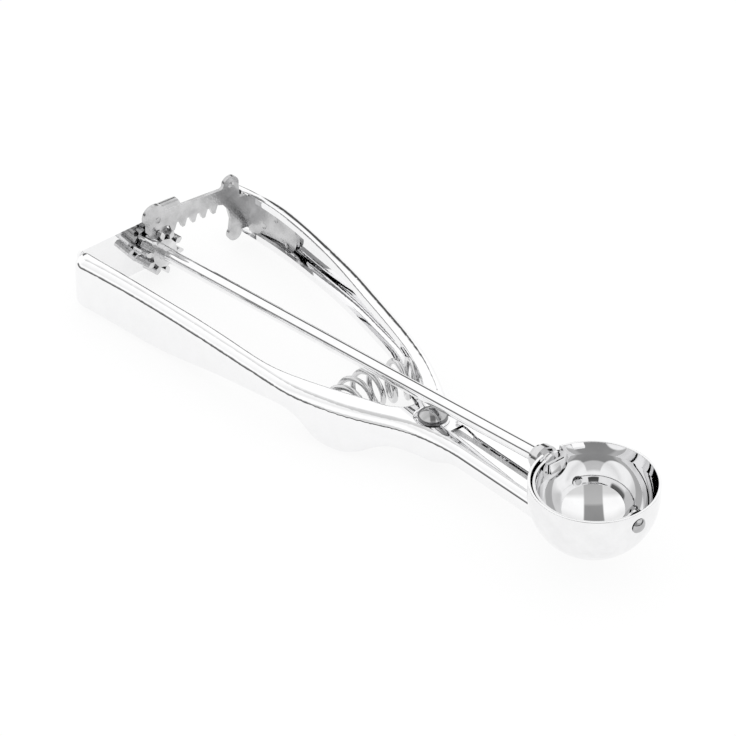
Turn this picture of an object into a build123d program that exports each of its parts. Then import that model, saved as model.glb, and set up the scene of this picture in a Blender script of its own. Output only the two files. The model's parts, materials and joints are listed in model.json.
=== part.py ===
"""Lever ice cream scoop: squeeze-handle disher with rack, pinion and scraper blade.

Working frame of the drawing: x runs along the handles towards the bowl, y towards the
lever, z up. x = 0 is the pivot axis, z = 0 the flat top of both handles and y = 0 the
vertical plane that holds the rod. The finished set is leaned onto its resting points
and moved so that the table is z = 0 before it is written out.
"""
import os
from math import acos, atan, cos, degrees, hypot, pi, radians, sin, tan

from build123d import *

C, LO, HI = Align.CENTER, Align.MIN, Align.MAX

# ---------------------------------------------------------------- driving sizes (mm)
SHEET = 1.0                 # handle sheet
EDGE_T, EDGE_H = 1.2, 3.0   # turned-in edge of the handles' flanges
EDGE_R = 1.0                # its outer rounding
RIM_SHEET = 0.85            # bowl sheet
RIM_R = 0.18                # rounding of the rim's edges
RUN = 0.05                  # radial clearance of a running fit
SEAT = 0.02                 # clearance of a fixed seat
SLIP = 0.1                  # end play between faces that turn on each other

# bowl and scraper
BOWL_R = 19.5               # outside radius
BOWL_WALL_H = 4.45          # straight wall above the scraper axis
BOWL_X, BOWL_Z = 70.2, 9.8  # centre of the sphere in the working frame
BOWL_TIP = 2.5              # rim plane dips this much towards the front, degrees
BLADE_T = 0.75
BLADE_GAP = 0.35            # blade to bowl
BLADE_HALF_W = 3.4
EAR_R = 4.9
EAR_X = 16.8                # inner face of both ears
EAR_T = 0.8

# rod
ROD_R = 2.25
ROD_SLOPE = 5.9             # rod climbs towards the bowl, degrees
TENON = (5.6, 3.0)
TENON_LEN = 2.6
TENON_GAP = 0.3
JOURNAL_R = 1.75

# rack and pinion
MODULE = 1.22
TEETH = 10
PINION_L = 6.8
PINION_FACE_X = -128.1      # front face of the pinion
BACKLASH = 0.32
RACK_T = 1.3
SWEEP = 180.0               # blade travel, degrees

# pivot
PIVOT_Y = -1.4
RIVET_R = 2.5
DOME_R = 4.1
DOME_H = 1.9
WASHER_T = 0.5
EAR_PIVOT_R = 5.1           # ends of the lever's ears
RECESS_R = 5.9              # pocket that takes the upper ear
PIVOT_WASHER_R = 4.6

# handles
END_WALL_X = -137.4         # outer face of the rear end wall
CORNER_R = 3.4
NECK_HALF = 8.0
NECK_DEPTH = 7.5
NECK_X0, NECK_X1 = 17.0, 58.0
SLOT_HALF = 1.5             # slot between the neck's lips
SLOT_X0 = 11.0              # middle of the slot's wide round start
SLOT_START_R = 2.4
PIVOT_FLOOR = -10.6         # lower face of the main handle at the pivot
LEVER_EDGE_X = -124.5       # the lever's turned-in edges start here, past the rack's tab

# spring
SPRING_X, SPRING_Z = -27.0, -8.2
SPRING_OD, WIRE = 13.6, 1.8
SPRING_Y0, SPRING_Y1 = -18.2, 12.0
COILS = 6.5
BOSS_R, BOSS_L = 3.1, 7.0   # boss inside the fixed handle that holds the spring

# small parts
FRONT_PIN_R = 1.5
FRONT_HEAD_R = 2.4
FRONT_EAR_R = 4.0
NOTCH_R = 3.4
STOP_ANGLE = 26.0           # stop tab, round the rim from the rod, degrees
STOP_TAB = (2.2, 3.6, 0.7)  # its reach, width and thickness
REAR_WASHER_X = -135.95     # rear face of the washer behind the pinion
END_WASHER_X = -137.85      # front face of the washer outside the end wall
END_WASHER_T = 0.6
PEEN_R, PEEN_T = 2.65, 0.95 # peened rear end of the rod
WELD_GAP = 0.04             # rack's tab to the lever's wall
BUSH_X = 50.2               # middle of the bowl wall at the notch

# low points of the main handle that stand on the table, in x and z
REST_TAIL = (-120, -18.0)
REST_BUMP = (-26, -16.9)

# ---------------------------------------------------------------- derived sizes
PITCH_R = MODULE * TEETH / 2
PITCH = pi * MODULE
rod_dir = (cos(radians(ROD_SLOPE)), 0, sin(radians(ROD_SLOPE)))
bowl_loc = Location((BOWL_X, 0, BOWL_Z), (0, BOWL_TIP, 0))
tenon_mid = -(EAR_X + EAR_T / 2)                       # on the scraper axis
joint_pt = (bowl_loc * Location((tenon_mid, 0, 0))).position


def rod_z(x):
    """Height of the rod's axis at x."""
    return joint_pt.Z + (x - joint_pt.X) * tan(radians(ROD_SLOPE))


pinion_mid_x = PINION_FACE_X - PINION_L / 2 * cos(radians(ROD_SLOPE))
rack_x = pinion_mid_x + 0.2                            # middle plane of the rack at mid travel
rack_arm = -rack_x
LEVER_RANGE = degrees(2 * atan(radians(SWEEP) * PITCH_R / 2 / rack_arm))
MESH_Z = rod_z(rack_x) + PITCH_R                       # pitch line of the rack
half_swing = radians(LEVER_RANGE / 2)

# rack outline, in the plate's position at mid travel
RACK_TOP = 4.0
RACK_PHASE = -11.8                                     # middle of the first tooth
RACK_TEETH = 7
FREE_END = (-10.8, 4.2, 4.1)                           # y, z and radius of the round free end
HOOK_Y0, HOOK_W = -8.4, 7.9                            # guide hook along the top edge
HOOK_REACH, HOOK_RISE, HOOK_T = 6.6, 2.3, 1.2
DIMPLE_R, DIMPLE_DEPTH = 1.1, 0.25                     # weld dimples and pilot marks
WELDS = [(-122.3, -11.1), (-117.2, -6.3), (-112.0, -13.2)]
RACK_BEND_Y = (-PIVOT_Y + 35.0 - rack_arm * sin(half_swing)) / cos(half_swing) + PIVOT_Y
TOP_LOBE, TOP_LOBE_R = (RACK_BEND_Y - 7.7, 4.6), 2.9      # y and z of the lobes by the bend
LOW_LOBE, LOW_LOBE_R = (RACK_BEND_Y - 6.7, -14.0), 2.5
contact_y = (-PIVOT_Y - rack_arm * sin(half_swing)) / cos(half_swing) + PIVOT_Y
TAB_X0 = rack_x * cos(half_swing) + 2.1                # tab's start, and below its straight length,
TAB_L, TAB_H, TAB_Z = 15.5, 13.6, -8.6                 # height and middle
PINION_TURN = (RACK_PHASE + PITCH - contact_y) / PITCH_R

EAR_Z = -(SHEET + SLIP)                                # pocket floor under the upper ear
LOWER_EAR_Z = PIVOT_FLOOR - SLIP - SHEET               # lower face of the lever's lower ear
EDGE_END_X = SPRING_X - SPRING_OD / 2 - 1.0            # turned-in edges end short of the spring

LEAN = degrees(atan((REST_BUMP[1] - REST_TAIL[1]) / (REST_BUMP[0] - REST_TAIL[0])))
stand = Location((0, 0, 0), (0, LEAN, 0))

# plan of the main handle: outer wall and flange edge, rear to front
main_outer = [(END_WALL_X, -31.4), (-124, -29.5), (-107, -28.0), (-90, -27.1), (-70, -26.5), (-50, -26.0),
              (-38, -25.1), (-30, -23.2), (-20, -19.9), (-10, -15.2), (-2, -11.4), (6, -9.3),
              (12, -8.4), (18, -NECK_HALF), (26, -NECK_HALF)]
main_edge = [(END_WALL_X, -24.8), (-120.6, -23.6), (-102.6, -22.4), (-85, -21.3), (-66, -20.9), (-50, -20.0),
             (-41.7, -17.9), (-35, -15.7), (-27, -12.7), (-20, -10.0), (-13.5, -7.4), (-9.6, -3.8),
             (-8.4, 0.6), (-6.2, 4.6), (-2, 7.0), (5, 7.8), (14, NECK_HALF), (26, NECK_HALF)]
main_under = [(-146, -17.4), (-137.4, -17.6), REST_TAIL, (-100, -17.6), (-88, -16.0), (-76, -13.8),
              (-62, -11.6), (-50, -9.9), (-43, -9.1), (-38.5, -10.0), (-34.5, -13.0), (-30.5, -15.9),
              REST_BUMP, (-21, -16.7), (-16, -14.6), (-12, -12.0), (-8.2, PIVOT_FLOOR), (-4, PIVOT_FLOOR),
              (1, PIVOT_FLOOR), (6, PIVOT_FLOOR), (9.5, -9.7), (13, -8.2), (NECK_X0, -NECK_DEPTH),
              (26, -NECK_DEPTH)]

# rear end wall that carries the rod, in y and z
end_wall = [(-27.0, -16.6), (-22, -17.7), (4.5, -17.7), (9.6, -13.0), (9.6, -2.4), (7.6, 0), (-26.0, 0),
            (-27.0, -1.0)]

# plan of the lever
lever_outer = [(-133.0, 35.4), (-125, 36.9), (-116.3, 37.7), (-106, 37.0), (-94.4, 35.4), (-82.5, 33.4),
               (-70.2, 31.0), (-56.9, 27.7), (-43.7, 24.4), (-30.2, 20.5), (-22, 17.5), (-15.1, 14.3),
               (-8.1, 10.6), (-3.0, 7.3)]
lever_edge = [(-133.0, 32.6), (-122.5, 33.3), (-112.5, 33.2), (-101.7, 32.2), (-89.8, 30.3), (-77.1, 27.6),
              (-63.3, 24.0), (-50.1, 20.6), (-36.1, 16.7), (-29, 14.4), (-19.6, 10.2), (-12.6, 5.6),
              (-8.2, 1.6)]
# web of each ear, from the channel to the round end
ear_web = [(-12.6, 5.6), (-8.2, 1.6), (-4.7, 0.4), (0, PIVOT_Y), (3.0, 2.5), (0.6, 5.6), (-3.0, 7.2),
           (-9.0, 8.4)]
lever_under = [(-146, -17.6), (-130, -17.6), (-112, -17.4), (-96, -16.6), (-80, -15.0), (-64, -13.4),
               (-50, -12.4), (-42, -12.6), (-36, -14.6), (-31, -16.4), (-25, -17.0), (-19, -16.2),
               (-13, -13.6), (-9, LOWER_EAR_Z), (-4, LOWER_EAR_Z), (2, LOWER_EAR_Z), (14, LOWER_EAR_Z)]


# ---------------------------------------------------------------- helpers
def inset(points, d):
    """Points moved d to the left of their direction of travel."""
    out = []
    for i, (x, y) in enumerate(points):
        x0, y0 = points[max(i - 1, 0)]
        x1, y1 = points[min(i + 1, len(points) - 1)]
        n = hypot(x1 - x0, y1 - y0)
        out.append((x - (y1 - y0) / n * d, y + (x1 - x0) / n * d))
    return out


def closed(*pieces):
    """Face bounded by the given open curves, joined by straight lines."""
    edges = []
    for i, e in enumerate(pieces):
        edges.append(e)
        a, b = e @ 1, pieces[(i + 1) % len(pieces)] @ 0
        if (a - b).length > 1e-4:
            edges.append(Edge.make_line(a, b))
    return Face(Wire(edges))


def slab(under, depth=80):
    """Everything between z = 0 and an underside curve in the xz plane."""
    pts = [Vector(x, -depth, z) for x, z in under]
    low = Edge.make_spline(pts)
    a, b = low @ 0, low @ 1
    top = Edge.make_line(Vector(b.X, -depth, 0), Vector(a.X, -depth, 0))
    return Solid.extrude(closed(low, top), Vector(0, 2 * depth, 0))


def along(edge, curve, tol=0.15):
    """True for an edge that follows a plan curve."""
    marks = [edge @ t for t in (0.1, 0.35, 0.6, 0.9)]
    return all(curve.distance_to(Vector(p.X, p.Y, 0)) < tol for p in marks)


def flat(points):
    return Edge.make_spline([Vector(x, y, 0) for x, y in points])


def ring(ro, ri, length, loc):
    """Tube or disc whose axis is the local z of loc, starting at its origin."""
    body = Cylinder(ro, length, align=(C, C, LO))
    if ri:
        body -= Cylinder(ri, length, align=(C, C, LO))
    return loc * body


def on_rod(x):
    """Location on the rod's axis with local z along it, towards the bowl."""
    return Location((x, 0, rod_z(x)), (0, 90 - ROD_SLOPE, 0))


def plate(points, x, t):
    """Flat plate in the yz plane, t thick about the middle plane x."""
    wire = Wire.make_polygon([Vector(x - t / 2, y, z) for y, z in points], close=True)
    return Solid.extrude(Face(wire), Vector(t, 0, 0))


# ---------------------------------------------------------------- handles
def pressed(outer, edge, under, end_x=None, drop=0, d=0, gap=0, radius=CORNER_R, edge_radius=0):
    """Body between two plan curves, an under surface and z = -drop, its walls moved in by d."""
    turn = 1 if outer[5][1] < 0 else -1
    oc = flat(inset(outer, turn * d))
    ec = flat([(x, y + turn * gap) for x, y in reversed(edge)])
    face = closed(oc, ec)
    if end_x is not None:
        corner = [v for v in face.vertices() if (Vector(v.X, v.Y, 0) - oc @ 0).length < 0.01]
        face = face.fillet_2d(radius + 1.6, corner)
    outside = [e for e in face.edges() if all(ec.distance_to(e @ t) > 0.5 for t in (0.2, 0.5, 0.8))]
    rim = [e for e in outside if abs((e @ 0.5).X - (e @ 0).X) > 0.05]
    block = Solid.extrude(face, Vector(0, 0, -40)) & slab([(x, z + d) for x, z in under])
    block = block.solids()[0]
    if drop:
        below = Pos(0, 0, -drop) * Box(600, 200, 60, align=(C, C, HI))
        block = (block & below).solids()[0]
    long = [e for e in block.edges() if abs((e @ 0.0).X - (e @ 1.0).X) > 0.5]
    block = block.fillet(radius, [e for e in long if any(along(e, c) for c in rim)])
    if edge_radius:
        long = [e for e in block.edges() if abs((e @ 0.5).X - (e @ 0.0).X) > 0.5]
        block = block.fillet(edge_radius, [e for e in long if along(e, ec, 0.02)])
    return block


def turned_edges(edge, under, d, x0, x1):
    """Room of both turned-in edges: a strip d wide beside the plan curve edge, from x0 to x1."""
    outside = flat(inset(edge, -d / 2))
    strip = Solid.extrude(closed(outside, flat(list(reversed(inset(edge, d))))), Vector(0, 0, -40))
    strip = strip & Pos(x0, 0, 0) * Box(x1 - x0, 200, 200, align=(LO, C, C))
    high = strip & Pos(0, 0, -EDGE_H) * Box(600, 200, 60, align=(C, C, LO))
    return high + (strip - slab([(x, z + EDGE_H) for x, z in under]))


def hollow(outer, edge, under, end_x=None, extra=0.0):
    """Inside of a channel of SHEET thickness, moved in by a further extra."""
    d = SHEET + extra
    return pressed(outer, edge, under, end_x, d, d, 0.02, CORNER_R - d)


def trough(d):
    """Neck section moved in by d: a tube, rounded more on its outer side than on the lever's."""
    box = Box(NECK_X1 - NECK_X0, 2 * (NECK_HALF - d), NECK_DEPTH - 2 * d, align=(LO, C, HI))
    for side, r in ((-1, CORNER_R - d), (1, EDGE_R - d)):
        if r > 0.1:
            box = box.fillet(r, [e for e in box.edges().filter_by(Axis.X) if e.center().Y * side > 1])
    return Pos(NECK_X0, 0, -d) * box


def build_main_handle():
    block = pressed(main_outer, main_edge, main_under, END_WALL_X, edge_radius=EDGE_R)
    core = hollow(main_outer, main_edge, main_under, END_WALL_X)
    core -= turned_edges(main_edge, main_under, -EDGE_T, END_WALL_X, EDGE_END_X)
    pivot = Pos(0, PIVOT_Y, 0)
    # open towards the lever behind the pivot, walled in round the neck
    far_wall = Pos(8.5, NECK_HALF, 0) * Box(80, SHEET * 2, 60, align=(LO, C, C))
    front = Pos(NECK_X0 + 1, 0, 0) * Box(80, 60, 60, align=(LO, C, C))
    body = (block - front) + trough(0) - ((core - far_wall) - front) - trough(SHEET)
    # pocket for the lever's upper ear, with its floor
    zone = pivot * Cylinder(RECESS_R + SHEET, 8) + Pos(2, 6, 0) * Box(2 * RECESS_R, 16, 8)
    floor = block & zone & Pos(0, 0, EAR_Z) * Box(60, 60, SHEET, align=(C, C, HI))
    pocket = pivot * Cylinder(RECESS_R, 8, align=(C, C, LO))
    pocket += Pos(-4, PIVOT_Y, 0) * Box(2 * RECESS_R + 8, 24, 8, align=(C, LO, LO))
    body = body + floor - Pos(0, 0, EAR_Z) * (pocket + neck_slot())
    body += plate(end_wall, END_WALL_X + SHEET / 2, SHEET)
    # holes for the rivet and the rod's journal, boss for the spring
    body -= pivot * Cylinder(RIVET_R + RUN, 60)
    body -= ring(JOURNAL_R + RUN, 0, 8, on_rod(END_WALL_X - 4))
    boss = ring(BOSS_R, BOSS_R - SHEET, BOSS_L, Location((SPRING_X, SPRING_Y0 - 3.2, SPRING_Z), (-90, 0, 0)))
    body += boss & block
    # neck meets the bowl
    body -= bowl_loc * Sphere(BOWL_R + SEAT)
    body -= bowl_loc * Box(60, 60, 60, align=(LO, C, C))
    return body


def neck_slot():
    """Slot between the neck's lips, from its wide round start at the pivot to the bowl, on z = 0."""
    wide = Pos(SLOT_X0, 0, 0) * Cylinder(SLOT_START_R, 8, align=(C, C, LO))
    side = [(0, -SLOT_START_R), (SLOT_X0, -SLOT_START_R), (SLOT_X0 + 6, -SLOT_HALF), (NECK_X1, -SLOT_HALF)]
    outline = side + [(x, -y) for x, y in reversed(side)]
    face = Face(Wire.make_polygon([Vector(x, y, 0) for x, y in outline], close=True))
    return wide + Solid.extrude(face, Vector(0, 0, 8))


def build_lever_handle():
    block = pressed(lever_outer, lever_edge, lever_under, edge_radius=EDGE_R)
    core = hollow(lever_outer, lever_edge, lever_under)
    core -= turned_edges(lever_edge, lever_under, EDGE_T, LEVER_EDGE_X, EDGE_END_X - EDGE_T)
    pivot = Pos(0, PIVOT_Y, 0)
    # ears reach round the rivet, without a wall between them
    low = PIVOT_FLOOR - SLIP
    ears = []
    for top in (0, low):
        tongue = pivot * Cylinder(EAR_PIVOT_R, SHEET, align=(C, C, HI))
        outline = Wire.make_polygon([Vector(x, y, 0) for x, y in ear_web], close=True)
        web = Solid.extrude(Face(outline), Vector(0, 0, -SHEET))
        ears.append(Pos(0, 0, top) * (tongue + web))
    body = block - core
    body -= Pos(-8.4, PIVOT_Y, -SHEET) * Box(30, 60, -low - SHEET, align=(LO, C, HI))
    body = body + ears[0] + ears[1]
    body -= pivot * Cylinder(RIVET_R + RUN, 60)
    return body


# ---------------------------------------------------------------- rack and pinion
def rack_disc(y, z, r):
    """Disc of the rack plate's thickness."""
    return ring(r, 0, RACK_T, Location((rack_x - RACK_T / 2, y, z), (0, 90, 0)))


def dimple(x, y, z, side):
    """Shallow ball that marks a face at the given point, entering from the direction side."""
    r = (DIMPLE_R ** 2 + DIMPLE_DEPTH ** 2) / (2 * DIMPLE_DEPTH)
    return Pos(Vector(x, y, z) + Vector(*side) * (r - DIMPLE_DEPTH)) * Sphere(r)


def hook():
    """Guide hook that arches back over the end wall, seen in the xz plane."""
    x0, z0 = rack_x + RACK_T / 2, RACK_TOP - 0.8
    start = Vector(x0, 0, z0)
    crest = Vector(x0 - HOOK_REACH * 0.55, 0, z0 + HOOK_RISE)
    end = Vector(x0 - HOOK_REACH, 0, z0 - 0.3)
    over = Edge.make_three_point_arc(start, crest, end)
    down = Vector(0, 0, -HOOK_T)
    under = Edge.make_three_point_arc(end + down, crest + down, start + down)
    return Solid.extrude(closed(over, under), Vector(0, HOOK_W, 0))


def build_rack():
    """Rack plate, drawn at mid travel where it stands square to x, then swung back to rest."""
    half = PITCH / 4 - BACKLASH / 4
    z_tip, z_root = MESH_Z - 0.9 * MODULE, MESH_Z + 1.2 * MODULE
    wt = half - 0.9 * MODULE * tan(radians(20))
    wr = half + 1.2 * MODULE * tan(radians(20))
    outline = [(FREE_END[0] - 2.9, FREE_END[1] + 1), (FREE_END[0] - 2.9, z_root), (RACK_PHASE - wt, z_tip)]
    for k in range(RACK_TEETH):
        yc = RACK_PHASE + k * PITCH
        tooth = [(yc - wr, z_root), (yc - wt, z_tip), (yc + wt, z_tip), (yc + wr, z_root)]
        outline += [(y, z) for y, z in tooth if y > RACK_PHASE]
    b = RACK_BEND_Y
    leg = [(-10.8, z_root - 0.8), (-9.0, -4.2), (-8.0, -8.4), (-8.5, -12.3), (-9.1, -14.1), (-4.2, -14.1),
           (-4.0, -13.4), (-0.3, -13.4), (-0.3, -3.2), (-2.2, -1.4), (-4.6, -1.2), (-4.9, 4.2), (-10.6, 4.6),
           (-11.4, RACK_TOP)]
    outline += [(b + y, z) for y, z in leg]
    body = plate(outline, rack_x, RACK_T) + rack_disc(*FREE_END)
    body += rack_disc(*TOP_LOBE, TOP_LOBE_R) + rack_disc(*LOW_LOBE, LOW_LOBE_R)
    body += Pos(0, HOOK_Y0, 0) * hook()
    for y, z in ((FREE_END[0] + 1.1, 2.6), TOP_LOBE):
        body -= dimple(rack_x + RACK_T / 2, y, z, (1, 0, 0))
    body = swung(body, -LEVER_RANGE / 2)
    # tab spot welded inside the lever's wall
    outer = flat(inset(lever_outer, -SHEET - WELD_GAP))
    inner = flat(inset(lever_outer, -SHEET - WELD_GAP - RACK_T)[::-1])
    tab = Solid.extrude(closed(outer, inner), Vector(0, 0, -40))
    shape = Pos(TAB_X0, 0, 0) * Box(TAB_L, 90, TAB_H, align=(LO, C, C))
    shape += Pos(TAB_X0 + TAB_L, 0, 0) * Rot(90, 0, 0) * Cylinder(TAB_H / 2, 90)
    tab = tab & Pos(0, 0, TAB_Z) * shape & hollow(lever_outer, lever_edge, lever_under, extra=WELD_GAP)
    for x, z in WELDS:
        tab -= dimple(x, height_on(inner, x), z, (0, -1, 0))
    return body + tab


def height_on(curve, x):
    """The y of a plan curve at x, for a curve that runs towards the rear."""
    low, high = 0.0, 1.0
    for _ in range(30):
        mid = (low + high) / 2
        low, high = (mid, high) if (curve @ mid).X > x else (low, mid)
    return (curve @ low).Y


def swung(shape, angle):
    """Shape turned about the pivot axis."""
    return shape.moved(Pos(0, PIVOT_Y, 0) * Rot(0, 0, angle) * Pos(0, -PIVOT_Y, 0))


def build_pinion():
    half = (PITCH / 4 - BACKLASH / 4) / PITCH_R
    al = radians(20)
    base, root, tip = PITCH_R * cos(al), PITCH_R - 1.15 * MODULE, PITCH_R + MODULE

    def inv(a):
        return tan(a) - a

    def width(r):
        if r > base:
            return half + inv(al) - inv(acos(base / r))
        return half + inv(al) - 0.1 * (base - r) / (base - root)

    rs = [root, base, PITCH_R, PITCH_R + 0.55 * MODULE, tip]
    pts = []
    for k in range(TEETH):
        mid = (k + 0.5) * 2 * pi / TEETH - PINION_TURN
        flank = [(mid - width(r), r) for r in rs] + [(mid + width(r), r) for r in reversed(rs)]
        pts += [(r * cos(a), r * sin(a)) for a, r in flank]
    wire = Wire.make_polygon([Vector(x, y, 0) for x, y in pts], close=True)
    body = Solid.extrude(Face(wire), Vector(0, 0, PINION_L)) - Cylinder(ROD_R + SEAT, 40)
    return body


def build_rod():
    span = cos(radians(ROD_SLOPE))
    x0, x1 = REAR_WASHER_X, joint_pt.X - 1.1
    body = ring(ROD_R, 0, (x1 - x0) / span, on_rod(x0))
    tail = END_WASHER_X - (END_WASHER_T + PEEN_T) * span
    body += ring(JOURNAL_R, 0, (x0 - tail) / span, on_rod(tail))
    body += ring(PEEN_R, 0, PEEN_T, on_rod(tail))
    tenon = Box(TENON[1], TENON[0], TENON_LEN + 0.4, align=(C, C, LO))
    body += on_rod(x1 - 0.4) * tenon
    return body


def build_bush():
    body = ring(3.4, ROD_R + RUN, 1.9, on_rod(BUSH_X - 5.0))
    body += ring(4.5, ROD_R + RUN, 2.1, on_rod(BUSH_X - 3.15))
    body += ring(3.9, ROD_R + RUN, 0.8, on_rod(BUSH_X - 1.2))
    body += ring(3.2, ROD_R + RUN, 1.45, on_rod(BUSH_X - 0.5))
    return body


# ---------------------------------------------------------------- bowl and blade
def build_bowl():
    ri = BOWL_R - RIM_SHEET
    with BuildPart() as p:
        with BuildSketch(Plane.XZ):
            with BuildLine():
                Line((BOWL_R, 0), (BOWL_R, BOWL_WALL_H - RIM_R))
                CenterArc((BOWL_R - RIM_R, BOWL_WALL_H - RIM_R), RIM_R, 0, 90)
                Line((BOWL_R - RIM_R, BOWL_WALL_H), (ri + RIM_R, BOWL_WALL_H))
                CenterArc((ri + RIM_R, BOWL_WALL_H - RIM_R), RIM_R, 90, 90)
                Line((ri, BOWL_WALL_H - RIM_R), (ri, 0))
                CenterArc((0, 0), ri, 0, -90)
                Line((0, -ri), (0, -BOWL_R))
                CenterArc((0, 0), BOWL_R, -90, 90)
            make_face()
        revolve(axis=Axis.Z)
    bowl = p.part
    # notch for the bush and hole for the front rivet
    drop = (BOWL_R - RIM_SHEET / 2 + tenon_mid) * tan(radians(ROD_SLOPE + BOWL_TIP))
    notch = Pos(-BOWL_R, 0, -drop) * (Rot(0, 90, 0) * Cylinder(NOTCH_R, 6)
                                     + Box(6, 2 * NOTCH_R, 12, align=(C, C, LO)))
    bowl -= notch
    bowl -= Pos(BOWL_R, 0, 0) * Rot(0, 90, 0) * Cylinder(FRONT_PIN_R + RUN, 6)
    # stop tab lanced out of the rim on the lever's side
    tab = Pos(ri + 0.2, 0, BOWL_WALL_H - 0.75) * Box(*STOP_TAB, align=(HI, C, LO))
    bowl += Rot(0, 0, 180 - STOP_ANGLE) * tab
    return bowl_loc * bowl


def build_blade():
    ro = BOWL_R - RIM_SHEET - BLADE_GAP
    ri = ro - BLADE_T
    shell = Sphere(ro) - Sphere(ri)
    band = shell & Box(2 * (EAR_X + EAR_T), 60, 2 * BLADE_HALF_W, align=(C, HI, C))
    front = Pos(0, 0, EAR_X) * Cylinder(FRONT_EAR_R, EAR_T, align=(C, C, LO))
    rear = Pos(0, 0, -EAR_X) * Cylinder(EAR_R, EAR_T, align=(C, C, HI))
    blade = band + (Rot(0, 90, 0) * (front + rear) & Sphere(ro))
    blade -= Pos(-EAR_X, 0, 0) * Box(6, TENON[0] + 2 * TENON_GAP, TENON[1] + 2 * TENON_GAP)
    blade -= Pos(EAR_X, 0, 0) * Rot(0, 90, 0) * Cylinder(FRONT_PIN_R + RUN, 6)
    return bowl_loc * blade


def in_bowl(x):
    """Location on the scraper axis with local z pointing to the front."""
    return bowl_loc * Location((x, 0, 0), (0, 90, 0))


def dome(r, h, loc):
    """Flat-bottomed dome of radius r and height h, its base at the origin of loc."""
    R = (r * r + h * h) / (2 * h)
    cap = (Pos(0, 0, h - R) * Sphere(R)) & Cylinder(r + 1, h, align=(C, C, LO))
    return loc * cap


def build_front_rivet():
    body = dome(FRONT_HEAD_R, 1.3, in_bowl(BOWL_R + 0.12))
    length = BOWL_R + 0.12 - (EAR_X - SLIP)
    body += ring(FRONT_PIN_R, 0, length + 0.1, in_bowl(EAR_X - SLIP))
    body += ring(FRONT_PIN_R + 0.9, 0, 0.8, in_bowl(EAR_X - SLIP - 0.8))
    return body


def build_spring():
    pitch = (SPRING_Y1 - SPRING_Y0 - WIRE) / COILS
    helix = Edge.make_helix(pitch, pitch * COILS, (SPRING_OD - WIRE) / 2)
    section = Face(Wire.make_circle(WIRE / 2, Plane(origin=helix @ 0, z_dir=helix % 0)))
    coil = sweep(section, path=Wire([helix]), is_frenet=True)
    return Location((SPRING_X, SPRING_Y0 + WIRE / 2, SPRING_Z), (-90, 0, 0)) * coil


# ---------------------------------------------------------------- pivot
def build_pivot_rivet():
    head_z = WASHER_T + SLIP / 2
    low = PIVOT_FLOOR - SLIP - SHEET - SLIP / 2 - WASHER_T
    p = Location((0, PIVOT_Y, 0))
    body = dome(DOME_R, DOME_H, p * Location((0, 0, head_z)))
    body += ring(RIVET_R, 0, head_z - low + 0.1, p * Location((0, 0, low)))
    body += ring(3.7, 0, 1.2, p * Location((0, 0, low - 1.2)))
    return body


def on_table(shapes):
    """Move that puts the lowest point of the leaned set on z = 0 and centres its box on the z axis."""
    box = Compound(children=[stand * shape for shape in shapes]).bounding_box()
    return Location((-(box.min.X + box.max.X) / 2, -(box.min.Y + box.max.Y) / 2, -box.min.Z))


def main():
    os.makedirs("parts", exist_ok=True)
    span = cos(radians(ROD_SLOPE))
    pivot = Location((0, PIVOT_Y, 0))
    low = PIVOT_FLOOR - SLIP - SHEET - SLIP / 2
    nodes = {
        "main_handle": build_main_handle(),
        "lever_handle": build_lever_handle(),
        "rack_plate": build_rack(),
        "drive_pinion": on_rod(PINION_FACE_X - PINION_L * span) * build_pinion(),
        "drive_rod": build_rod(),
        "thrust_washer": ring(3.4, ROD_R + SEAT, 0.75, on_rod(REAR_WASHER_X)),
        "end_washer": ring(3.6, JOURNAL_R + SEAT, END_WASHER_T, on_rod(END_WASHER_X - END_WASHER_T * span)),
        "rod_bush": build_bush(),
        "bowl": build_bowl(),
        "scraper_blade": build_blade(),
        "front_rivet": build_front_rivet(),
        "front_washer": ring(2.6, FRONT_PIN_R + SEAT, 0.6, in_bowl(EAR_X + EAR_T + SLIP)),
        "pivot_rivet": build_pivot_rivet(),
        "upper_washer": ring(PIVOT_WASHER_R, RIVET_R + SEAT, WASHER_T, pivot * Location((0, 0, SLIP / 2))),
        "lower_washer": ring(PIVOT_WASHER_R, RIVET_R + SEAT, WASHER_T, pivot * Pos(0, 0, low - WASHER_T)),
        "return_spring": build_spring(),
    }
    home = on_table(nodes.values())
    for name, shape in nodes.items():
        export_step(home * stand * shape, f"parts/{name}.step")


if __name__ == "__main__":
    main()
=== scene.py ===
"""Looks of the lever ice cream scoop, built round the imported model.

Lengths are in metres, apart from the sizes of the spring and the groove, which are in mm in
the drawing's frame: x along the handles, y across them and z up from their flat top.
"""
import bpy
import json
from math import cos, pi, radians, sin
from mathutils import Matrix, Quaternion, Vector


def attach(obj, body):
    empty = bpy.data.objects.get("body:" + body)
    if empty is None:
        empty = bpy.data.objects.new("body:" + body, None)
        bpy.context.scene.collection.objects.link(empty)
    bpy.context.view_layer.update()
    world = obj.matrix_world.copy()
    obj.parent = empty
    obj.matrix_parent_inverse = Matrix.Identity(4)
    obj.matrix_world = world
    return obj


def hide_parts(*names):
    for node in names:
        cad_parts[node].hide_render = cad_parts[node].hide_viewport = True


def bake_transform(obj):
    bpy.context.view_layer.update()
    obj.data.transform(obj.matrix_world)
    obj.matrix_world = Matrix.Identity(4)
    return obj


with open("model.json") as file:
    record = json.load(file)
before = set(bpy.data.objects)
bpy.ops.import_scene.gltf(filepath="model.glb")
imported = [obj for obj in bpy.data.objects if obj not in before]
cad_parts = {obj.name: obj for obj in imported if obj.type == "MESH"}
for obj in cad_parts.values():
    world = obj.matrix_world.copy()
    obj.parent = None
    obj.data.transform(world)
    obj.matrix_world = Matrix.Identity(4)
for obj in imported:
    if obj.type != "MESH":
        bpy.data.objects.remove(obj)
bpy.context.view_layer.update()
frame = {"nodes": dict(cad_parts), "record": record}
nodes = frame["nodes"]

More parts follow.
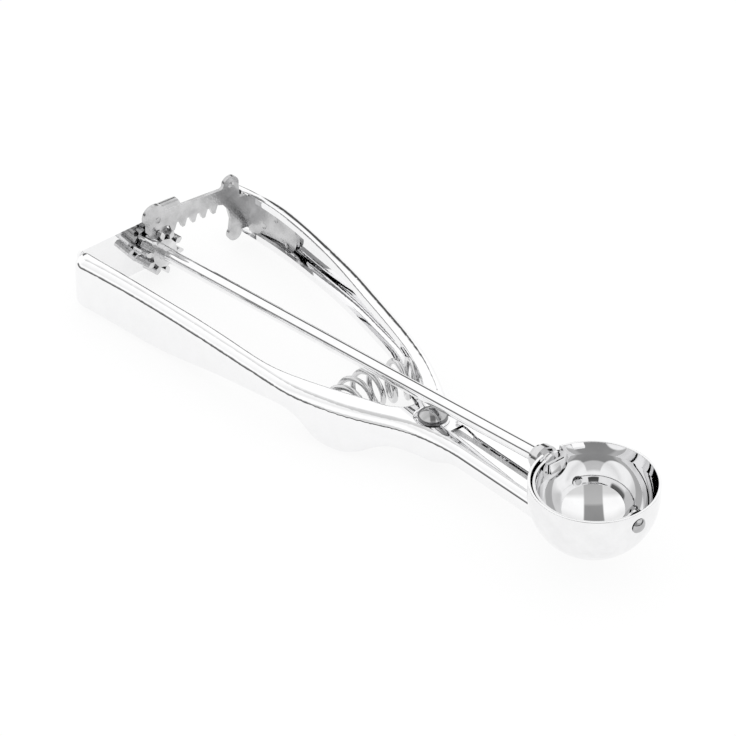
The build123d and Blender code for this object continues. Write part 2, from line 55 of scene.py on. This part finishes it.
MM = 0.001
ACROSS = Vector((0, 1, 0))

# camera at the photograph's viewpoint
CAMERA_AT = Vector((1.42755, -1.18624, 1.31807))
CAMERA_TO = Vector((-0.01171, 0.00018, 0.01307))
CAMERA_ROLL = radians(-1.418)
LENS_MM, SENSOR_MM = 370.65, 36.0
CLIP_FROM, CLIP_TO = 0.1, 60.0

# rod's slope against the table, for grain that runs along it
ROD_SLOPE = radians(5.23)

# return spring, mm: its coils lie on an arc about the pivot, between their seats in the handles
WIRE_R = 0.9
COIL_R = 5.85
COILS = 8
SPRING_ARC_R = 31.5
SPRING_FROM, SPRING_TO = radians(-31.0), radians(32.0)
SPRING_Z = -8.05            # middle of the end coils
SPRING_RISE = 0.35          # how much higher the middle coils lie
DEAD_TURN = 0.065           # arc taken by each closed end turn, radians
STEPS_PER_TURN, WIRE_SIDES = 36, 12

# floor of the groove between the neck's lips, mm: ends, half width, height, dip and thickness
GROOVE_X = (7.5, 51.0)
GROOVE_HALF, GROOVE_Z, GROOVE_DIP, GROOVE_T = 2.5, -1.12, 0.55, 0.25
GROOVE_END = 0.35           # half width at either end, as a share
GROOVE_STEPS, GROOVE_ACROSS = 24, 12


# ---------------------------------------------------------------- studio
def make_camera():
    data = bpy.data.cameras.new("camera")
    data.lens, data.sensor_width, data.sensor_fit = LENS_MM, SENSOR_MM, "HORIZONTAL"
    data.clip_start, data.clip_end = CLIP_FROM, CLIP_TO
    cam = bpy.data.objects.new("camera", data)
    bpy.context.scene.collection.objects.link(cam)
    cam.rotation_mode = "QUATERNION"
    aim = (CAMERA_TO - CAMERA_AT).to_track_quat("-Z", "Y")
    cam.rotation_quaternion = aim @ Quaternion((0, 0, 1), CAMERA_ROLL)
    cam.location = CAMERA_AT
    bpy.context.scene.camera = cam


class Tree:
    """Node tree with short calls that add a node, feed its sockets and give back its output."""

    def __init__(self, owner):
        owner.use_nodes = True
        self.tree = owner.node_tree
        self.tree.nodes.clear()

    def add(self, kind, **settings):
        node = self.tree.nodes.new(kind)
        for key, value in settings.items():
            setattr(node, key, value)
        return node

    def feed(self, socket, source):
        """Link an output to a socket, or set the socket's own value."""
        if isinstance(source, bpy.types.NodeSocket):
            self.tree.links.new(source, socket)
        else:
            socket.default_value = source

    def math(self, operation, a, b=0.0):
        node = self.add("ShaderNodeMath", operation=operation)
        self.feed(node.inputs[0], a)
        self.feed(node.inputs[1], b)
        return node.outputs[0]

    def remap(self, source, low, high, to_low, to_high):
        """Source moved from one range to another and held inside it."""
        node = self.add("ShaderNodeMapRange")
        self.feed(node.inputs["Value"], source)
        for name, value in zip(("From Min", "From Max", "To Min", "To Max"), (low, high, to_low, to_high)):
            node.inputs[name].default_value = value
        return node.outputs["Result"]

    def ramp(self, source, stops):
        """Grey by (position, value) stops."""
        node = self.add("ShaderNodeValToRGB")
        elements = node.color_ramp.elements
        while len(elements) < len(stops):
            elements.new(0.5)
        for element, (position, value) in zip(elements, stops):
            element.position, element.color = position, (value, value, value, 1)
        self.feed(node.inputs["Fac"], source)
        return node.outputs["Color"]

    def mix(self, factor, a, b):
        """Colour between a and b."""
        node = self.add("ShaderNodeMix", data_type="RGBA")
        for socket, source in zip((node.inputs["Factor"], node.inputs[6], node.inputs[7]), (factor, a, b)):
            self.feed(socket, source)
        return node.outputs[2]

    def mix_shader(self, factor, a, b):
        node = self.add("ShaderNodeMixShader")
        for socket, source in zip(node.inputs, (factor, a, b)):
            self.feed(socket, source)
        return node.outputs[0]

    def glow(self, kind, strength=1.0):
        """White light from a background or an emission node."""
        node = self.add(kind)
        node.inputs["Color"].default_value = (1, 1, 1, 1)
        node.inputs["Strength"].default_value = strength
        return node.outputs[0]

    def noise(self, vector, scale, detail=3.0, roughness=0.55):
        node = self.add("ShaderNodeTexNoise")
        self.feed(node.inputs["Vector"], vector)
        node.inputs["Scale"].default_value = scale
        node.inputs["Detail"].default_value = detail
        node.inputs["Roughness"].default_value = roughness
        return node.outputs["Fac"]


# the room that the metal mirrors: two large soft boxes, left and right, over a pale table, with a
# gap between them that runs from the camera's side overhead to the back
TO_CAMERA = (0.7692, -0.6391, 0.0)
TO_RIGHT = (0.6391, 0.7692, 0.0)
GAP_HALF = 0.29             # half width of the gap, as a sine
GAP_EDGE = 0.02             # softness of its edges
# brightness in the gap by angle from the camera's horizon (0) over the top (0.5) to the back (1)
GAP_BY_ANGLE = [(0.0, 0.30), (0.10, 0.42), (0.30, 0.48), (0.33, 0.30), (0.50, 0.26), (0.53, 0.55),
                (0.70, 0.62), (0.76, 1.0), (0.84, 1.0), (0.86, 0.06), (0.95, 0.12), (0.97, 0.9)]
# brightness of the boxes by the same angle
BOX_BY_ANGLE = [(0.0, 0.02), (0.05, 0.05), (0.08, 0.66), (0.20, 0.70), (0.26, 1.0), (0.40, 1.0),
                (0.50, 0.84), (0.66, 1.0), (1.0, 1.0)]
# brightness far to the side by sine of height: dark up to the boxes' lower edge
SIDE_BY_HEIGHT = [(0.0, 0.40), (0.03, 0.10), (0.20, 0.16), (0.34, 1.0), (1.0, 1.0)]
SIDE, SIDE_EDGE = 0.86, 0.03    # sine to the side past which the lower part is dark, and its softness
BOX_LIGHT = 1.1
TABLE_LIGHT = 1.25          # the same room as soft light on the table


def make_world():
    world = bpy.data.worlds.new("studio")
    bpy.context.scene.world = world
    t = Tree(world)
    ray = t.add("ShaderNodeTexCoord").outputs["Generated"]
    height = t.add("ShaderNodeSeparateXYZ")
    t.feed(height.inputs[0], ray)
    up = height.outputs["Z"]

    def along(direction):
        dot = t.add("ShaderNodeVectorMath", operation="DOT_PRODUCT")
        t.feed(dot.inputs[0], ray)
        dot.inputs[1].default_value = direction
        return dot.outputs["Value"]

    angle = t.math("DIVIDE", t.math("ARCTAN2", t.math("MAXIMUM", up, 0.0), along(TO_CAMERA)), pi)
    aside = t.math("ABSOLUTE", along(TO_RIGHT))
    foot = t.remap(aside, SIDE - SIDE_EDGE, SIDE + SIDE_EDGE, 0.0, 1.0)
    in_box = t.remap(aside, GAP_HALF - GAP_EDGE, GAP_HALF + GAP_EDGE, 0.0, 1.0)
    box = t.mix(foot, t.ramp(angle, BOX_BY_ANGLE), t.ramp(up, SIDE_BY_HEIGHT))
    room = t.add("ShaderNodeBackground")
    t.feed(room.inputs["Color"], t.mix(in_box, t.ramp(angle, GAP_BY_ANGLE), box))
    room.inputs["Strength"].default_value = BOX_LIGHT
    path = t.add("ShaderNodeLightPath")
    shader = t.mix_shader(path.outputs["Is Diffuse Ray"], room.outputs[0],
                          t.glow("ShaderNodeBackground", TABLE_LIGHT))
    shader = t.mix_shader(path.outputs["Is Camera Ray"], shader, t.glow("ShaderNodeBackground"))
    t.feed(t.add("ShaderNodeOutputWorld").inputs["Surface"], shader)


FLOOR_HALF = 4.0
FLOOR_COLOUR = (0.95, 0.95, 0.95, 1)
FLOOR_GLOW = 0.86           # share of the floor's own white, the rest keeps the shadow


def make_floor():
    s = FLOOR_HALF
    mesh = bpy.data.meshes.new("floor")
    mesh.from_pydata([(-s, -s, 0), (s, -s, 0), (s, s, 0), (-s, s, 0)], [], [(0, 1, 2, 3)])
    floor = bpy.data.objects.new("floor", mesh)
    bpy.context.scene.collection.objects.link(floor)
    mat = bpy.data.materials.new("floor")
    t = Tree(mat)
    paper = t.add("ShaderNodeBsdfDiffuse")
    paper.inputs["Color"].default_value = FLOOR_COLOUR
    path = t.add("ShaderNodeLightPath")
    seen = t.math("MAXIMUM", path.outputs["Is Camera Ray"], path.outputs["Is Glossy Ray"])
    seen = t.math("MAXIMUM", seen, path.outputs["Is Transmission Ray"])
    glow = t.glow("ShaderNodeEmission")
    surface = t.mix_shader(t.math("MULTIPLY", seen, FLOOR_GLOW), paper.outputs[0], glow)
    t.feed(t.add("ShaderNodeOutputMaterial").inputs["Surface"], surface)
    mesh.materials.append(mat)


# ---------------------------------------------------------------- materials
# scales of the noises, per metre, and heights of their relief, mm
CLOUD_SCALE, LINE_SCALE, WAVE_SCALE, PIT_SCALE = 200.0, 900.0, 55.0, 1500.0
LINE_DEPTH, PIT_DEPTH = 0.012, 0.06
LEAST_ROUGH = 0.01
COOL = 0.005                # the blue of every steel is this much above its grey
LOW, HIGH = 0.3, 0.7        # span of a noise that is spread over a whole range
CLOUD_FROM = 0.35           # clouds darken from here


def steel(name, grey, rough, grain=(1, 1, 1), tilt=0.0, streaks=0.0, pits=0.0, waves=0.0, stain=0.06):
    """Stainless steel with mottled gloss, grain stretched by the vector grain, pits and slow waves."""
    colour = (grey, grey, grey + COOL)
    mat = bpy.data.materials.new(name)
    t = Tree(mat)
    shader = t.add("ShaderNodeBsdfPrincipled")
    shader.inputs["Metallic"].default_value = 1.0
    place = t.add("ShaderNodeTexCoord").outputs["Object"]
    stretch = t.add("ShaderNodeMapping")
    stretch.inputs["Rotation"].default_value = (0, tilt, 0)
    stretch.inputs["Scale"].default_value = grain
    t.feed(stretch.inputs["Vector"], place)
    cloud = t.noise(place, CLOUD_SCALE, 4.0)
    lines = t.noise(stretch.outputs[0], LINE_SCALE, 3.0, 0.6)
    # colour: slightly darker clouds
    dark = [c * (1 - stain) for c in colour]
    shade = t.remap(cloud, CLOUD_FROM, HIGH, 0.0, 1.0)
    t.feed(shader.inputs["Base Color"], t.mix(shade, (*colour, 1), (*dark, 1)))
    # gloss: clouds and lines
    gloss = t.math("ADD", t.remap(cloud, LOW, HIGH, rough * 0.75, rough * 1.25),
                   t.remap(lines, LOW, HIGH, -rough * streaks, rough * streaks))
    t.feed(shader.inputs["Roughness"], t.math("MAXIMUM", gloss, LEAST_ROUGH))
    # relief: slow waves of the pressed sheet, fine lines and pits
    height = t.math("MULTIPLY", t.noise(place, WAVE_SCALE, 1.0), waves)
    height = t.math("ADD", height, t.math("MULTIPLY", lines, streaks * LINE_DEPTH))
    height = t.math("ADD", height, t.math("MULTIPLY", t.noise(place, PIT_SCALE, 2.0), pits * PIT_DEPTH))
    bump = t.add("ShaderNodeBump")
    bump.inputs["Strength"].default_value = 1.0
    bump.inputs["Distance"].default_value = MM
    t.feed(bump.inputs["Height"], height)
    t.feed(shader.inputs["Normal"], bump.outputs[0])
    t.feed(t.add("ShaderNodeOutputMaterial").inputs["Surface"], shader.outputs[0])
    return mat


def make_materials():
    along_x = (0.04, 1, 1)
    along_y = (1, 0.05, 1)
    turned = (1, 0.04, 0.04)
    looks = {
        "polished_handle": dict(grey=0.93, rough=0.03, grain=along_x, waves=0.006, streaks=0.05, stain=0.02),
        "polished_bowl": dict(grey=0.90, rough=0.02, waves=0.02, streaks=0.04),
        "polished_blade": dict(grey=0.80, rough=0.04, grain=along_y, streaks=0.15),
        "drawn_rod": dict(grey=0.94, rough=0.05, grain=along_x, tilt=ROD_SLOPE, streaks=0.2),
        "cast_pinion": dict(grey=0.78, rough=0.11, grain=along_x, tilt=ROD_SLOPE, streaks=0.3, pits=0.7,
                            stain=0.25),
        "stamped_rack": dict(grey=0.64, rough=0.20, grain=along_y, streaks=0.25, pits=0.5, waves=0.02,
                             stain=0.25),
        "spring_wire": dict(grey=0.74, rough=0.05, streaks=0.1, stain=0.15),
        "turned_bush": dict(grey=0.72, rough=0.08, grain=turned, tilt=ROD_SLOPE, streaks=0.4, stain=0.2),
        "rivets": dict(grey=0.56, rough=0.08, streaks=0.2, pits=0.3, stain=0.3),
        # the washers' near-black grey is painted shade: it stands in for the dark crescent of shadow under
        # the pivot dome
        "washers": dict(grey=0.22, rough=0.14, streaks=0.2, pits=0.3, stain=0.2),
    }
    return {name: steel(name, **look) for name, look in looks.items()}


def dress_nodes(materials):
    for part in frame["record"]["subparts"]:
        mesh = nodes[part["node"]].data
        mesh.materials.clear()
        mesh.materials.append(materials[part["material_slot"]])


# ---------------------------------------------------------------- pieces
def place():
    """The drawing's frame on the table: pivot point, and directions along the handles and up from them."""
    joint = next(j for j in frame["record"]["behaviour"]["joints"] if j["name"] == "lever_squeeze")
    up = Vector(joint["axis"])
    up = up if up.z > 0 else -up
    return Vector(joint["pos_m"]), ACROSS.cross(up), up


PIVOT, ALONG, UP = place()
JOINT_Z = -6.0              # height of the joint's point in the drawing, mm


def at(x, y, z):
    """Point on the table for millimetres from the pivot axis, across the handles and above their top."""
    return PIVOT + (ALONG * x + ACROSS * y + UP * (z - JOINT_Z)) * MM


def piece(name, rings, slot):
    """Solid through rings of equal count, closed at both ends."""
    n, count = len(rings[0]), len(rings)
    faces = [(i * n + j, i * n + (j + 1) % n, (i + 1) * n + (j + 1) % n, (i + 1) * n + j)
             for i in range(count - 1) for j in range(n)]
    faces += [tuple(range(n))[::-1], tuple((count - 1) * n + j for j in range(n))]
    mesh = bpy.data.meshes.new(name)
    mesh.from_pydata([p for ring in rings for p in ring], [], faces)
    mesh.polygons.foreach_set("use_smooth", [True] * len(faces))
    mesh.materials.append(materials[slot])
    obj = bpy.data.objects.new(name, mesh)
    bpy.context.scene.collection.objects.link(obj)
    return obj


def spring_turn(t):
    """Angle about the pivot after t turns: closed end turns, even pitch between them."""
    live = (SPRING_TO - SPRING_FROM - 2 * DEAD_TURN) / (COILS - 2)
    if t < 1:
        return SPRING_FROM + DEAD_TURN * t
    if t > COILS - 1:
        return SPRING_TO - DEAD_TURN * (COILS - t)
    return SPRING_FROM + DEAD_TURN + live * (t - 1)


def make_spring():
    steps = STEPS_PER_TURN * COILS
    line = []
    for i in range(steps + 1):
        t = i / STEPS_PER_TURN
        phi, a = spring_turn(t), 2 * pi * t
        r = SPRING_ARC_R + COIL_R * cos(a)
        rise = SPRING_RISE * (1 - (phi / SPRING_TO) ** 2)
        line.append(at(-r * cos(phi), r * sin(phi), SPRING_Z + rise + COIL_R * sin(a)))
    turns = [2 * pi * k / WIRE_SIDES for k in range(WIRE_SIDES)]
    rings = []
    for i, p in enumerate(line):
        ahead = (line[min(i + 1, steps)] - line[max(i - 1, 0)]).normalized()
        side = ahead.cross(ACROSS).normalized()
        third = ahead.cross(side)
        rings.append([p + (side * cos(b) + third * sin(b)) * WIRE_R * MM for b in turns])
    coil = piece("return_coil", rings, "spring_wire")
    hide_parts("return_spring")
    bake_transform(coil)


def make_groove():
    x0, x1 = GROOVE_X
    rings = []
    for i in range(GROOVE_STEPS + 1):
        x = x0 + (x1 - x0) * i / GROOVE_STEPS
        half = GROOVE_HALF * min(1.0, GROOVE_END + (min(x - x0, x1 - x) / GROOVE_HALF) ** 0.5)
        top = [half * (2 * j / GROOVE_ACROSS - 1) for j in range(GROOVE_ACROSS + 1)]
        dip = [GROOVE_Z - GROOVE_DIP * (1 - (y / half) ** 2) for y in top]
        rings.append([at(x, y, z) for y, z in zip(top, dip)]
                     + [at(x, y, z - GROOVE_T) for y, z in zip(reversed(top), reversed(dip))])
    groove = piece("groove_floor", rings, "stamped_rack")
    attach(groove, "base")


make_camera()
make_world()
make_floor()
bpy.context.scene.view_settings.view_transform = "Standard"
materials = make_materials()
dress_nodes(materials)
make_spring()
make_groove()
